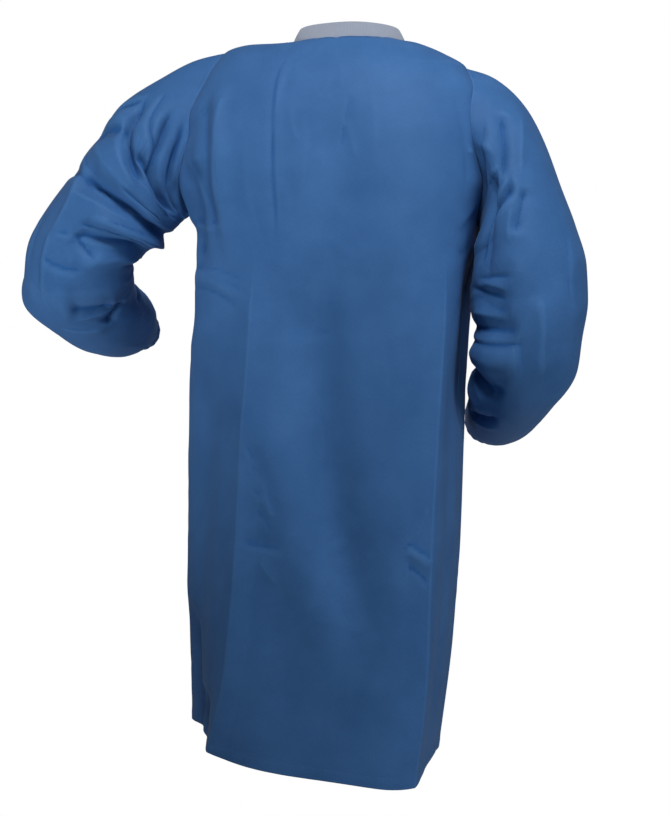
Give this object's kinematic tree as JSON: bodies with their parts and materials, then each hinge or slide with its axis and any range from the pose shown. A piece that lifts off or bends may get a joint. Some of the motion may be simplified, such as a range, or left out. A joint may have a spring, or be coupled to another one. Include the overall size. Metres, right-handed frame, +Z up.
{
  "type": "disposable lab coat",
  "caption": "Knee-length disposable lab coat kept in its worn shape, empty: nonwoven body lapped at the front, long set-in sleeves with elastic cuffs, knit collar band.",
  "frame": {"origin": "middle of the neck at shoulder height, where the wearer carries the coat", "axes": "+Z up, +Y out of the wearer's back, +X to the wearer's left"},
  "size_m": [0.8397, 0.3463, 1.0479],
  "materials": {
    "cloth": "matte nonwoven sheet, soft sheen, mid blue",
    "knit": "matte rib knit, pale grey",
    "snap": "satin moulded plastic, white"
  },
  "bodies": {
    "root": {"back": "cloth", "front_left": "cloth", "front_right": "cloth", "sleeve_left": "cloth", "sleeve_right": "cloth", "cuff_left": "cloth", "cuff_right": "cloth", "collar": "knit", "snap_1": "snap", "snap_2": "snap", "snap_3": "snap", "snap_4": "snap", "snap_5": "snap"}
  },
  "joints": []
}
